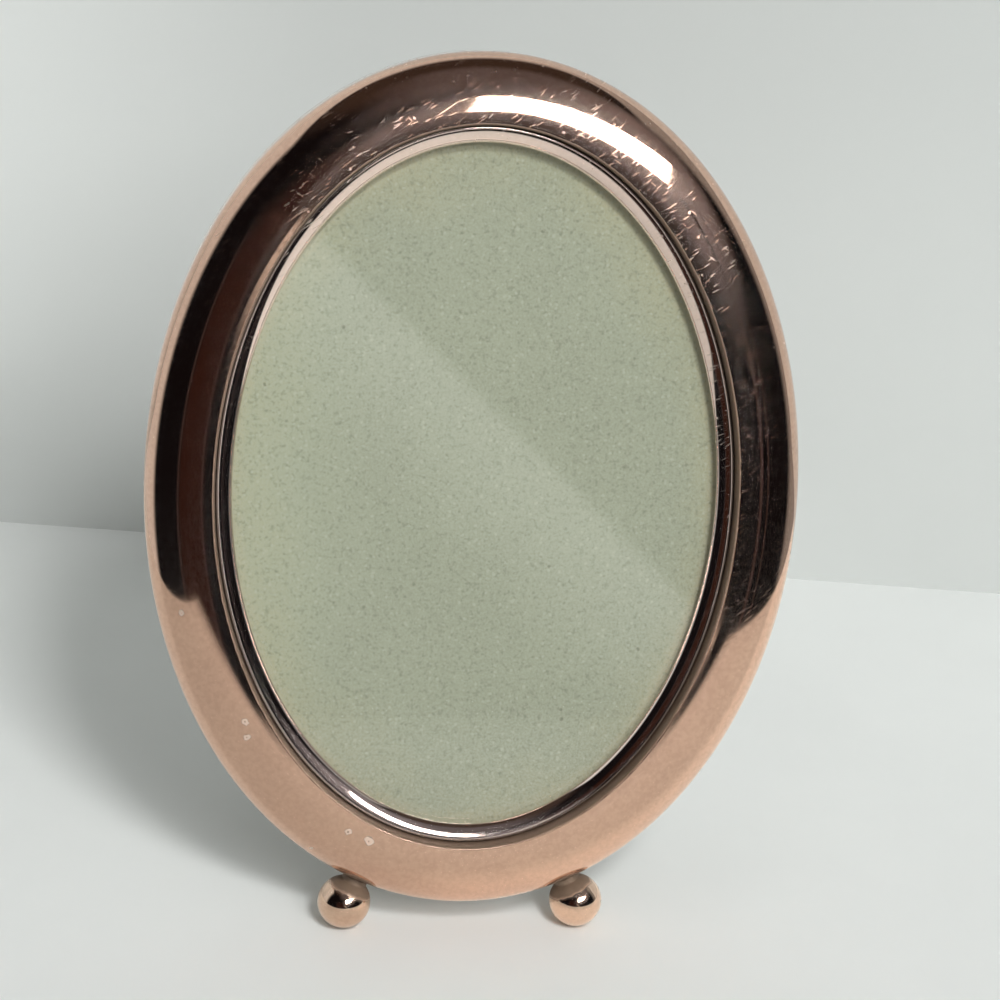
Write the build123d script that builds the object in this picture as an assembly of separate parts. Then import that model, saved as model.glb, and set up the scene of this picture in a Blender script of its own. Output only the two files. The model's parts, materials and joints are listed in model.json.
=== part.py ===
from build123d import *
import math
import os

# An oval table frame: a pressed copper ring on two ball feet, with glass, a card, a back board and a strut.
# Millimetres and degrees. The frame is drawn flat: X runs across the picture, Y up it, Z towards the viewer,
# with Z = 0 on the back of the ring. The last section leans it back and stands it on the floor.

# Stance
lean_angle = 12.0
strut_opening = 26.0

# Sight opening and ring section
sight_width = 84.0
sight_height = 120.0
ring_width = 15.0
sheet_thickness = 0.8
skirt_height = 5.0
crown_stand = 3.8
return_setback = 3.0
edge_roll_radius = 1.2

# Sight ring
flange_thickness = 0.7
lip_width = 2.4
lip_edge_height = 0.35
lip_slope_height = 1.4
lip_bulge = 0.33

# Stack behind the sight ring, from the glass to the back
glass_thickness = 2.0
card_thickness = 0.4
packing_thickness = 1.5
board_thickness = 2.5
cover_thickness = 0.5
rebate_clearance = 0.3
solder_gap = 0.1

# Ball feet
ball_diameter = 9.5
foot_angle = 17.5
foot_setback = 3.4
foot_flat_depth = 0.15
neck_diameter = 4.6
neck_length = 0.5
stud_diameter = 2.0
stud_depth = 4.5
stud_tip_room = 0.5
stud_tail = 0.6
washer_diameter = 4.2
washer_thickness = 0.4
nut_flats = 4.0
nut_thickness = 1.6
seat_clearance = 0.1
thread_clearance = 0.05

# Strut hinge
hinge_height = 30.0
plate_width = 17.0
plate_height = 13.0
plate_thickness = 0.8
plate_corner_radius = 2.0
pressed_edge_radius = 0.2
pin_diameter = 1.6
pin_head_diameter = 2.4
pin_head_length = 0.5
knuckle_radius = 1.7
knuckle_length = 4.8
knuckle_gap = 0.3
running_clearance = 0.05
leaf_width = 10.0
leaf_length = 17.0
leaf_corner_radius = 2.0
leaf_neck_room = 0.6
stop_length = 4.0
rivet_diameter = 1.8
rivet_head_diameter = 3.4
rivet_head_height = 0.6
plate_rivet_spacing = 10.4
plate_rivet_margin = 3.2
leaf_rivet_margin = 4.0
leaf_rivet_spacing = 7.0

# Strut
strut_thickness = 2.4
strut_cover_thickness = 0.4
strut_top_width = 15.0
strut_tip_width = 24.0
strut_top_room = 0.8
strut_top_radius = 3.0
strut_tip_radius = 2.5

# Turn buttons
button_angle_lower = 52.0
button_angle_upper = 128.0
button_setback = 6.2
button_width = 3.8
button_overlap = 2.0
button_thickness = 0.7
button_rivet_diameter = 1.8
button_head_diameter = 3.4
button_tail_diameter = 3.0
button_head_height = 0.7
button_tail_height = 0.5

# Levels behind and in front of the ring's back face
board_back = cover_thickness
packing_back = board_back + board_thickness
card_back = packing_back + packing_thickness
glass_back = card_back + card_thickness
flange_back = glass_back + glass_thickness
flange_front = flange_back + flange_thickness
crest_level = flange_front + crown_stand
crown_rise = crest_level - skirt_height
crest_setback = return_setback + edge_roll_radius
stack_setback = return_setback - rebate_clearance
pin_level = -(plate_thickness + knuckle_gap + knuckle_radius)
half_knuckle = knuckle_length / 2


def oval(outward):
    """Oval face whose edge lies this far outside the sight opening."""
    return Ellipse(sight_width / 2 + outward, sight_height / 2 + outward)


def oval_slab(outward, back, front):
    """Flat oval plate between two levels."""
    return Pos(0, 0, back) * extrude(oval(outward), front - back)


def oval_band(inner, outer, back, front):
    """Flat-ended oval band between two outward distances and two levels."""
    return Pos(0, 0, back) * extrude(oval(outer) - oval(inner), front - back)


def carry_round(outline):
    """Carries a closed section, drawn as (outward, forward) lengths, round the sight opening."""
    path = Edge.make_ellipse(sight_width / 2, sight_height / 2)
    outward = (path @ 0).normalized()
    start = Plane(origin=path @ 0, x_dir=outward, z_dir=outward.cross(Vector(0, 0, 1)))
    return sweep(start * make_face(Curve() + outline), path=path)


def oval_spot(angle, outward, forward):
    """Point and outward direction beside the sight edge, at an angle counted from the bottom towards +X."""
    across = math.sin(math.radians(angle))
    down = math.cos(math.radians(angle))
    direction = Vector(across / sight_width, -down / sight_height, 0).normalized()
    point = Vector(across * sight_width / 2, -down * sight_height / 2, forward)
    return point + direction * outward, direction


def rod(diameter, start, end):
    """Round rod along Z between two levels."""
    return Pos(0, 0, start) * extrude(Circle(diameter / 2), end - start)


def block(width, low, high, back, front):
    """Box centred on X, between two Y values and two Z levels."""
    return Pos(0, (low + high) / 2, back) * extrude(Rectangle(width, high - low), front - back)


def crosswise(diameter, left, right):
    """Round rod along X through the origin between two places."""
    return Plane(origin=(left, 0, 0), z_dir=(1, 0, 0)) * rod(diameter, 0, right - left)


# Standing the flat frame up: the floor under the ball feet, seen in the flat frame
ball_radius = ball_diameter / 2
ball_reach = ring_width + neck_length + ball_radius
ball_centre, _ = oval_spot(foot_angle, ball_reach, foot_setback)
floor_up = Vector(0, math.cos(math.radians(lean_angle)), math.sin(math.radians(lean_angle)))
floor_drop = ball_radius - foot_flat_depth
floor_point = Vector(0, ball_centre.Y, ball_centre.Z) - floor_up * floor_drop
floor_plane = Plane(origin=floor_point, x_dir=(1, 0, 0), z_dir=floor_up)

# Foot places: planes on the outside of the skirt whose Z axis points outwards
foot_planes = {}
for side, sign in (("left", -1), ("right", 1)):
    spot, outward_direction = oval_spot(sign * foot_angle, ring_width, foot_setback)
    foot_planes[side] = Plane(origin=spot, x_dir=(0, 0, 1), z_dir=outward_direction)

# Turn button places: planes on the back of the ring, X towards the picture and Z out of the back
button_angles = {
    "upper_left": -button_angle_upper,
    "upper_right": button_angle_upper,
    "lower_left": -button_angle_lower,
    "lower_right": button_angle_lower,
}
button_planes = {}
for place, angle in button_angles.items():
    spot, outward_direction = oval_spot(angle, button_setback, 0)
    button_planes[place] = Plane(origin=spot, x_dir=-outward_direction, z_dir=(0, 0, -1))

# Strut place: origin on the hinge pin, Y down the strut and Z out of its back, at the open stop
opening = math.radians(strut_opening)
strut_back = Vector(0, math.sin(opening), -math.cos(opening))
strut_plane = Plane(origin=(0, hinge_height, pin_level), x_dir=(1, 0, 0), z_dir=strut_back)

parts = {}

# Front shell: skirt, convex crown and turned-down inner edge, pressed from one sheet
stud_hole_diameter = stud_diameter + 2 * thread_clearance
crown_width = ring_width - crest_setback
roll_centre = (crest_setback, crest_level - edge_roll_radius)
return_inside = return_setback + sheet_thickness
skirt_inside = ring_width - sheet_thickness
crown_centre = (crest_setback, skirt_height)
crown_inside = (crown_width - sheet_thickness, crown_rise - sheet_thickness)
shell_outline = [
    Polyline((skirt_inside, skirt_height), (skirt_inside, 0), (ring_width, 0), (ring_width, skirt_height)),
    EllipticalCenterArc(crown_centre, crown_width, crown_rise, arc_size=90),
    CenterArc(roll_centre, edge_roll_radius, 90, 90),
    Polyline(
        (return_setback, roll_centre[1]),
        (return_setback, flange_front),
        (return_inside, flange_front),
        (return_inside, roll_centre[1]),
    ),
    CenterArc(roll_centre, edge_roll_radius - sheet_thickness, 90, 90),
    EllipticalCenterArc(crown_centre, *crown_inside, arc_size=90),
]
front_shell = carry_round(shell_outline)
for plane in foot_planes.values():
    front_shell -= plane * rod(stud_hole_diameter, -2 * sheet_thickness, sheet_thickness)
parts["front_shell"] = front_shell

# Sight ring: flat flange clamped under the shell's inner edge, and the lip that slopes down to the glass
lip_edge = flange_back + lip_edge_height
lip_top = lip_edge + lip_slope_height
lip_outline = [
    Polyline(
        (0, lip_edge),
        (0, flange_back),
        (return_inside, flange_back),
        (return_inside, flange_front),
        (lip_width, flange_front),
        (lip_width, lip_top),
    ),
    SagittaArc((0, lip_edge), (lip_width, lip_top), lip_bulge),
]
parts["sight_ring"] = carry_round(lip_outline)

# Rear ring: collar round the stack, and the flange that closes the back of the shell
flange_rim = skirt_inside - solder_gap
collar = oval_band(return_setback, return_inside, sheet_thickness, flange_back)
rear_ring = collar + oval_band(return_setback, flange_rim, 0, sheet_thickness)
button_hole_diameter = button_rivet_diameter + 2 * running_clearance
for plane in button_planes.values():
    rear_ring -= plane * rod(button_hole_diameter, -2 * sheet_thickness, sheet_thickness)
parts["rear_ring"] = rear_ring

# Stack in the rebate
plate_rivet_level = hinge_height + plate_height - plate_rivet_margin
plate_rivets = [(side * plate_rivet_spacing / 2, plate_rivet_level) for side in (-1, 1)]
plate_hole_diameter = rivet_diameter + 2 * running_clearance
parts["glass_pane"] = oval_slab(stack_setback, glass_back, flange_back)
parts["insert_card"] = oval_slab(stack_setback, card_back, glass_back)
parts["packing_card"] = oval_slab(stack_setback, packing_back, card_back)
back_board = oval_slab(stack_setback, board_back, packing_back)
back_cover = oval_slab(stack_setback, 0, board_back)
for across, up in plate_rivets:
    hole = Pos(across, up, 0) * rod(plate_hole_diameter, -board_thickness, packing_back + cover_thickness)
    back_board -= hole
    back_cover -= hole
parts["back_board"] = back_board
parts["back_cover"] = back_cover

# Ball feet with their studs, washers and nuts
foot_fastenings = {"foot_studs": [], "foot_washers": [], "foot_nuts": []}
inside_face = -(sheet_thickness + seat_clearance)
washer_face = inside_face - washer_thickness
nut_face = washer_face - nut_thickness
stud_end = neck_length + stud_depth
for side, plane in foot_planes.items():
    ball = Pos(0, 0, neck_length + ball_radius) * Sphere(ball_radius)
    ball += rod(neck_diameter, seat_clearance, neck_length + ball_radius)
    ball -= rod(stud_hole_diameter, -sheet_thickness, stud_end + stud_tip_room)
    parts[f"foot_ball_{side}"] = split(plane * ball, bisect_by=floor_plane, keep=Keep.TOP)
    stud_hole = rod(stud_hole_diameter, 2 * nut_face, sheet_thickness)
    hexagon = RegularPolygon(nut_flats / 2, 6, major_radius=False, rotation=30)
    washer = rod(washer_diameter, washer_face, inside_face) - stud_hole
    nut = Pos(0, 0, nut_face) * extrude(hexagon, nut_thickness) - stud_hole
    foot_fastenings["foot_studs"].append(plane * rod(stud_diameter, nut_face - stud_tail, stud_end))
    foot_fastenings["foot_washers"].append(plane * washer)
    foot_fastenings["foot_nuts"].append(plane * nut)
for name, pieces in foot_fastenings.items():
    parts[name] = Compound(children=pieces)

# Fixed half of the strut hinge: a plate on the back with two knuckles round the pin
knuckle_start = half_knuckle + knuckle_gap
pin_bore = pin_diameter + 2 * running_clearance
plate_face = Rectangle(plate_width, plate_height + knuckle_radius)
plate_top = hinge_height + plate_height
plate_middle = (plate_top + hinge_height - knuckle_radius) / 2
plate_outline = Pos(0, plate_middle) * fillet(plate_face.vertices().group_by(Axis.Y)[-1], plate_corner_radius)
hinge_plate = Pos(0, 0, -plate_thickness) * extrude(plate_outline, plate_thickness)
hinge_plate = fillet(hinge_plate.faces().sort_by(Axis.Z)[0].edges(), pressed_edge_radius)
pin_place = Pos(0, hinge_height, pin_level)
for side in (-1, 1):
    ends = sorted((side * knuckle_start, side * plate_width / 2))
    hinge_plate += pin_place * crosswise(2 * knuckle_radius, *ends)
    web = Box(ends[1] - ends[0], knuckle_radius, -plate_thickness - pin_level)
    web_place = (sum(ends) / 2, hinge_height - knuckle_radius / 2, (pin_level - plate_thickness) / 2)
    hinge_plate += Pos(*web_place) * web
hinge_plate -= pin_place * crosswise(pin_bore, -plate_width, plate_width)
plate_rivet_solids = []
for across, up in plate_rivets:
    place = Pos(across, up, 0)
    hinge_plate -= place * rod(plate_hole_diameter, -2 * plate_thickness, plate_thickness)
    head = rod(rivet_head_diameter, -plate_thickness - rivet_head_height, -plate_thickness)
    dome = fillet(head.faces().sort_by(Axis.Z)[0].edges(), rivet_head_height / 2)
    plate_rivet_solids.append(place * (dome + rod(rivet_diameter, -plate_thickness, packing_back)))
parts["hinge_plate"] = hinge_plate
parts["hinge_plate_rivets"] = Compound(children=plate_rivet_solids)

# Hinge pin with its two peened heads
pin_half = plate_width / 2 + running_clearance
pin = crosswise(pin_diameter, -pin_half, pin_half)
pin += crosswise(pin_head_diameter, pin_half, pin_half + pin_head_length)
pin += crosswise(pin_head_diameter, -pin_half - pin_head_length, -pin_half)
parts["hinge_pin"] = pin_place * pin

# Moving half of the hinge: knuckle, leaf on the strut's back, and the tab that stops it against the plate
leaf_front = knuckle_radius - plate_thickness
leaf_start = knuckle_radius + leaf_neck_room
leaf_blank = Rectangle(leaf_width, leaf_length - leaf_start)
leaf_blank = fillet(leaf_blank.vertices().group_by(Axis.Y)[-1], leaf_corner_radius)
leaf = Pos(0, (leaf_length + leaf_start) / 2, leaf_front) * extrude(leaf_blank, plate_thickness)
leaf = fillet(leaf.faces().sort_by(Axis.Z)[-1].edges(), pressed_edge_radius)
leaf += block(knuckle_length, 0, leaf_start, leaf_front, knuckle_radius)
leaf += crosswise(2 * knuckle_radius, -half_knuckle, half_knuckle)
stop_end = hinge_height + stop_length
stop_tab = block(knuckle_length, hinge_height, stop_end, -2 * plate_thickness, -plate_thickness)
hinge_leaf = strut_plane * leaf + stop_tab
hinge_leaf -= strut_plane * crosswise(pin_bore, -knuckle_length, knuckle_length)
leaf_rivets = [leaf_length - leaf_rivet_margin - leaf_rivet_spacing, leaf_length - leaf_rivet_margin]

# Strut: a tapered board cut to the floor, its flocked paper, and the rivets of the leaf
cover_front = leaf_front - strut_cover_thickness
core_front = cover_front - strut_thickness
strut_start = knuckle_radius + strut_top_room
pin_height = (Vector(0, hinge_height, pin_level) - floor_point).dot(floor_up)
floor_tilt = math.radians(strut_opening - lean_angle)
strut_reach = pin_height / math.cos(floor_tilt)
strut_end = strut_reach + strut_thickness
strut_outline = make_face(
    Polyline(
        (-strut_top_width / 2, strut_start),
        (strut_top_width / 2, strut_start),
        (strut_tip_width / 2, strut_end),
        (-strut_tip_width / 2, strut_end),
        close=True,
    )
)
strut_outline = fillet(strut_outline.vertices().group_by(Axis.Y)[0], strut_top_radius)
strut = strut_plane * (Pos(0, 0, core_front) * extrude(strut_outline, leaf_front - core_front))
strut = split(strut, bisect_by=floor_plane, keep=Keep.TOP)
sole = strut.faces().sort_by(Axis(floor_point, floor_up))[0]
strut = fillet(sole.edges().sort_by(SortBy.LENGTH)[:2], strut_tip_radius)
cover_plane = strut_plane.offset(cover_front)
strut_core = split(strut, bisect_by=cover_plane, keep=Keep.BOTTOM)
strut_cover = split(strut, bisect_by=cover_plane, keep=Keep.TOP)
leaf_rivet_solids = []
for down in leaf_rivets:
    place = strut_plane * Pos(0, down, 0)
    hole = place * rod(plate_hole_diameter, core_front - strut_thickness, knuckle_radius + plate_thickness)
    strut_core -= hole
    strut_cover -= hole
    hinge_leaf -= hole
    head = rod(rivet_head_diameter, knuckle_radius, knuckle_radius + rivet_head_height)
    dome = fillet(head.faces().sort_by(Axis.Z)[-1].edges(), rivet_head_height / 2)
    leaf_rivet_solids.append(place * (dome + rod(rivet_diameter, core_front, knuckle_radius)))
parts["hinge_leaf"] = hinge_leaf
parts["hinge_leaf_rivets"] = Compound(children=leaf_rivet_solids)
parts["strut_core"] = strut_core
parts["strut_cover"] = strut_cover

# Turn buttons and the rivets that they swivel on
button_reach = button_setback - stack_setback + button_overlap
button_rivet_solids = []
for place, plane in button_planes.items():
    tongue = Pos(button_reach / 2, 0) * SlotCenterToCenter(button_reach, button_width)
    button = extrude(tongue, button_thickness)
    button = fillet(button.faces().sort_by(Axis.Z)[-1].edges(), pressed_edge_radius)
    button -= rod(button_hole_diameter, -button_thickness, 2 * button_thickness)
    parts[f"turn_button_{place}"] = plane * button
    head_top = button_thickness + button_head_height
    head = rod(button_head_diameter, button_thickness, head_top)
    rivet = fillet(head.faces().sort_by(Axis.Z)[-1].edges(), button_head_height / 2)
    rivet += rod(button_rivet_diameter, -sheet_thickness, button_thickness)
    rivet += rod(button_tail_diameter, -sheet_thickness - button_tail_height, -sheet_thickness)
    button_rivet_solids.append(plane * rivet)
parts["turn_button_rivets"] = Compound(children=button_rivet_solids)

# Leaning the frame back on its feet, with the origin on the floor in the middle of its footprint
upright = Plane((0, 0, 0), x_dir=(1, 0, 0), z_dir=(0, -floor_up.Y, floor_up.Z))
standing = {name: upright * piece for name, piece in parts.items()}
boxes = [piece.bounding_box() for piece in standing.values()]
footprint_middle = (min(box.min.Y for box in boxes) + max(box.max.Y for box in boxes)) / 2
stand_shift = Vector(0, -footprint_middle, -min(box.min.Z for box in boxes))
os.makedirs("parts", exist_ok=True)
for name, piece in standing.items():
    export_step(Pos(stand_shift) * piece, f"parts/{name}.step")
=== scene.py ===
# %% [markdown]
# An oval table frame in polished copper. It stands on two ball feet and a strut, and holds a card behind
# glass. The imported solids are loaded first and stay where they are. Every new piece is worked out in the
# same place, in metres, so nothing has to be fitted afterwards.

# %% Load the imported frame
import bmesh
import bpy
import json
import numpy as np
from functools import reduce
from mathutils import Matrix, Vector


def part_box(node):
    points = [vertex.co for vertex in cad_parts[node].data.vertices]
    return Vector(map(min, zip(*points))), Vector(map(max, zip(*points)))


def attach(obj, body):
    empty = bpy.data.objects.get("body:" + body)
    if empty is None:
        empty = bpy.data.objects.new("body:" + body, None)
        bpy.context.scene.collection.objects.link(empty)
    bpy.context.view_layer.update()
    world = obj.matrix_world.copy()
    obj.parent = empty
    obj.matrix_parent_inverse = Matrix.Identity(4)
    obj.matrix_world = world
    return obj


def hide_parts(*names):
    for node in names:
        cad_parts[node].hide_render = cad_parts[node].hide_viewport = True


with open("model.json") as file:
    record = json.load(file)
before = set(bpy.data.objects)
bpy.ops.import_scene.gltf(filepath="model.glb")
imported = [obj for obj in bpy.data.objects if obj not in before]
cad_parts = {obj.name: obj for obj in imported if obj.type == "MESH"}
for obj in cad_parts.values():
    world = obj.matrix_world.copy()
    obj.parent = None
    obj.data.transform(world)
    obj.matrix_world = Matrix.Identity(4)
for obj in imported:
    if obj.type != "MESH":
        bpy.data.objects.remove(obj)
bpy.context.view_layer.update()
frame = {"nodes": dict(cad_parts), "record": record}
nodes = frame["nodes"]

# %% [markdown]
# The frame leans back, so its pieces are easiest to describe in its own directions: across the picture, up
# the picture, and out of the picture towards the viewer. The swivels of the turn buttons point straight out
# of the picture, and the glass is in the middle of the oval, so those two give the directions and the
# centre.

# %% Directions and centre of the leaning frame
MM = 0.001
GLASS_MIDDLE = 5.9 * MM


def unit(vector):
    """The same direction with a length of 1."""
    return vector / np.linalg.norm(vector)


swivel = next(j for j in frame["record"]["behaviour"]["joints"] if j["name"] == "upper_left_swivel")
outward_face = unit(np.array(swivel["axis"]))
across = np.array([1.0, 0.0, 0.0])
upward = np.cross(outward_face, across)
glass_low, glass_high = (np.array(corner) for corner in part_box("glass_pane"))
centre = (glass_low + glass_high) / 2 - GLASS_MIDDLE * outward_face


def place(x, v, n):
    """World points from lengths x, v and n: centre + x across + v upward + n out of the picture."""
    x, v, n = np.broadcast_arrays(x, v, n)
    return centre + x[..., None] * across + v[..., None] * upward + n[..., None] * outward_face


print("centre of the ring's back:", centre.round(4), "lean:", np.degrees(np.arcsin(outward_face[2])).round(2))

# %% [markdown]
# A camera comes first, because every choice of shape and finish is judged through it. The long lens stands
# a little to the left of the frame and above it. It turns slightly past the middle, so that the frame sits
# in the picture where it should and the lens needs no shift.

# %% Camera
CAMERA_LENS, SENSOR_WIDTH, CAMERA_NEAREST = 90.0, 36.0, 0.01
CAMERA_DISTANCE = 0.4384
CAMERA_SIDE, CAMERA_RISE, CAMERA_ROLL = np.radians([-6.5, 11.2, 1.99])
AIM_RIGHT, AIM_DOWN = 0.0276, 0.0156

sight_line = (np.sin(CAMERA_SIDE) * np.cos(CAMERA_RISE) * across + np.sin(CAMERA_RISE) * upward
              + np.cos(CAMERA_SIDE) * np.cos(CAMERA_RISE) * outward_face)
level_right = unit(np.cross(upward, sight_line))
level_up = np.cross(sight_line, level_right)
right = np.cos(CAMERA_ROLL) * level_right + np.sin(CAMERA_ROLL) * level_up
up = np.cos(CAMERA_ROLL) * level_up - np.sin(CAMERA_ROLL) * level_right
eye = centre + CAMERA_DISTANCE * sight_line
back = unit(CAMERA_LENS / SENSOR_WIDTH * sight_line - AIM_RIGHT * right + AIM_DOWN * up)
camera_up = unit(up - back * (up @ back))
camera_right = np.cross(camera_up, back)

camera = bpy.data.objects.new("camera", bpy.data.cameras.new("camera"))
camera.data.lens = CAMERA_LENS
camera.data.clip_start = CAMERA_NEAREST
camera.matrix_world = Matrix.Translation(Vector(eye)) @ Matrix(
    [Vector(row) for row in np.column_stack([camera_right, camera_up, back])]).to_4x4()
bpy.context.scene.collection.objects.link(camera)
bpy.context.scene.camera = camera
bpy.context.scene.view_settings.view_transform = "Standard"
print("eye:", eye.round(3), "looking along", (-back).round(3))

# %% [markdown]
# Finishes are node trees. Writing them node by node hides the idea, so two small classes let the maths be
# written as sums: a Wire is one output socket, and adding or multiplying wires adds Math nodes. A Finish
# makes every other node through one method, which sets the node's settings first and then its values and
# links.

# %% Wires and finishes
class Wire:
    """One output socket, with which sums can be written."""

    def __init__(self, finish, socket):
        self.finish, self.socket = finish, socket

    def maths(self, operation, first, second):
        return self.finish.node("ShaderNodeMath", {"operation": operation}, {0: first, 1: second})

    def __add__(self, other):
        return self.maths("ADD", self, other)

    __radd__ = __add__

    def __sub__(self, other):
        return self.maths("SUBTRACT", self, other)

    def __rsub__(self, other):
        return self.maths("SUBTRACT", other, self)

    def __mul__(self, other):
        return self.maths("MULTIPLY", self, other)

    __rmul__ = __mul__

    def __truediv__(self, other):
        return self.maths("DIVIDE", self, other)

    def __pow__(self, other):
        return self.maths("POWER", self, other)

    def larger(self, other):
        return self.maths("MAXIMUM", self, other)


class Finish:
    """A node tree whose nodes are made through one method."""

    def __init__(self, owner):
        owner.use_nodes = True
        self.owner, self.tree = owner, owner.node_tree
        self.shader = self.tree.nodes.get("Principled BSDF") or self.tree.nodes.get("Background")

    def node(self, kind, settings, values, out=0):
        """Makes a node, sets its settings, then its values and links, and gives one of its outputs."""
        made = self.tree.nodes.new(kind)
        for name, setting in settings.items():
            setattr(made, name, setting)
        for name, value in values.items():
            self.join(made.inputs[name], value)
        return Wire(self, made.outputs[out])

    def join(self, socket, value):
        """Links a wire to a socket, or sets the socket's value."""
        if isinstance(value, Wire):
            self.tree.links.new(value.socket, socket)
        else:
            socket.default_value = value

    def set(self, **values):
        """Sets the shader's sockets by name, with _ for a space."""
        for name, value in values.items():
            self.join(self.shader.inputs[name.replace("_", " ")], value)

    def spot(self):
        """Object coordinates, which are places in metres."""
        return self.node("ShaderNodeTexCoord", {}, {}, "Object")

    def surface(self):
        """The piece's own lengths round and across it, in metres."""
        return self.node("ShaderNodeTexCoord", {}, {}, "UV")

    def stretched(self, vector, turn, scale):
        """Coordinates turned and scaled along each axis, so that a pattern is as long as each scale."""
        return self.node("ShaderNodeMapping", {"vector_type": "TEXTURE"},
                         {"Vector": vector, "Rotation": turn, "Scale": scale})

    def noise(self, vector, scale, detail=3.0, roughness=0.55):
        """Cloudy values from 0 to 1."""
        return self.node("ShaderNodeTexNoise", {},
                         {"Vector": vector, "Scale": scale, "Detail": detail, "Roughness": roughness})

    def flecks(self, vector, scale, size, chance, space="3D"):
        """Round specks: 1 at a cell's point, 0 from size outwards, and only in a share of the cells."""
        cells = {"voronoi_dimensions": space}, {"Vector": vector, "Scale": scale}
        distance, colour = (self.node("ShaderNodeTexVoronoi", *cells, out) for out in ("Distance", "Color"))
        pick = self.node("ShaderNodeSeparateColor", {}, {"Color": colour})
        return self.fade(distance, size, size * 0.6) * self.fade(pick, chance, chance * 0.98)

    def fade(self, value, start, end):
        """0 at start, 1 at end, with a smooth change between."""
        return self.node("ShaderNodeMapRange", {"interpolation_type": "SMOOTHSTEP"},
                         {"Value": value, "From Min": start, "From Max": end})

    def mix(self, share, first, second):
        """Colour between two colours, which a Mix node takes in inputs 6 and 7 and gives from output 2."""
        colours = [c if isinstance(c, Wire) else (*c, 1.0) for c in (first, second)]
        values = {0: share, 6: colours[0], 7: colours[1]}
        return self.node("ShaderNodeMix", {"data_type": "RGBA"}, values, 2)

    def along(self, direction):
        """How far a point lies along a direction from the frame's centre, in metres."""
        length = self.node("ShaderNodeVectorMath", {"operation": "DOT_PRODUCT"},
                           {0: self.spot(), 1: tuple(direction)}, "Value")
        return length - float(centre @ direction)

    def picture_place(self):
        """Lengths across and up the picture from its centre, as one vector."""
        return self.node("ShaderNodeCombineXYZ", {}, {"X": self.along(across), "Y": self.along(upward)})

    def parts(self, vector, axes="XYZ"):
        """The values of a vector along some of its axes."""
        return [self.node("ShaderNodeSeparateXYZ", {}, {0: vector}, axis) for axis in axes]

    def ray(self, kind):
        """1 for rays of one kind, such as those from the camera or those that a polished surface sends on."""
        return self.node("ShaderNodeLightPath", {}, {}, f"Is {kind} Ray")

    def near(self, point):
        """Distance from a point, in metres."""
        ends = {0: self.spot(), 1: tuple(point)}
        return self.node("ShaderNodeVectorMath", {"operation": "DISTANCE"}, ends, "Value")

    def bump(self, height, depth, strength=1.0):
        """Surface normal from a height of 0 to 1, which stands depth metres proud at 1."""
        values = {"Strength": strength, "Distance": depth, "Height": height}
        self.set(Normal=self.node("ShaderNodeBump", {}, values))

    def clear(self, tint=(1.0, 1.0, 1.0)):
        """A shader that lets rays straight through, coloured by a tint."""
        return self.node("ShaderNodeBsdfTransparent", {}, {"Color": (*tint, 1.0)})

    def through(self, share, clear):
        """Lets a share of the rays through a clear shader instead of the main one."""
        main = Wire(self, self.shader.outputs[0])
        both = self.node("ShaderNodeMixShader", {}, {0: share, 1: main, 2: clear})
        self.join(self.tree.nodes["Material Output"].inputs["Surface"], both)


def new_finish(name):
    """A new material as a finish."""
    return Finish(bpy.data.materials.new(name))


# %% [markdown]
# The ring is one pressed sheet: a straight skirt at the back, a broad crown that rises to its crest near
# the picture, and a tight roll down to the glass. A polished crown shows every flat of a coarse mesh as a
# kink in its reflections, so the ring is worked out afresh: a section drawn in millimetres is carried round
# the oval sight edge.

# %% Grids, ovals and sections
SIGHT_WIDTH, SIGHT_HEIGHT = 84.0 * MM, 120.0 * MM
LENGTH_STEPS, WELD_DISTANCE = 20000, 1e-7


def oval_place(angle, outward):
    """Points of the sight edge, (a sin t, -b cos t) with t from the bottom, moved out along its normal."""
    a, b = SIGHT_WIDTH / 2, SIGHT_HEIGHT / 2
    normal = np.stack([b * np.sin(angle), -a * np.cos(angle)], axis=-1)
    normal /= np.linalg.norm(normal, axis=-1)[..., None]
    edge = np.stack([a * np.sin(angle), -b * np.cos(angle)], axis=-1)
    return edge + normal * np.asarray(outward)[..., None]


def even_angles(count):
    """Angles whose points are evenly spaced along the sight edge: equal shares of its summed length."""
    t = np.linspace(0.0, 2 * np.pi, LENGTH_STEPS + 1)
    steps = np.linalg.norm(np.diff(oval_place(t, 0.0), axis=0), axis=1)
    length = np.concatenate([[0.0], np.cumsum(steps)])
    return np.interp(np.arange(count) / count * length[-1], length, t)


def arc(middle, radii, start, end, count):
    """Points of an elliptic arc: middle + (radius cos t, radius sin t), angles in degrees."""
    t = np.radians(np.linspace(start, end, count))
    return np.column_stack([middle[0] + radii[0] * np.cos(t), middle[1] + radii[1] * np.sin(t)])


def straight(first, last, count):
    """Points evenly spaced on a line from first to last."""
    return np.linspace(first, last, count)


def section(*runs):
    """One outline from runs of points, each without its last point, where the next run takes over."""
    return np.concatenate([run[:-1] for run in runs])


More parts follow.
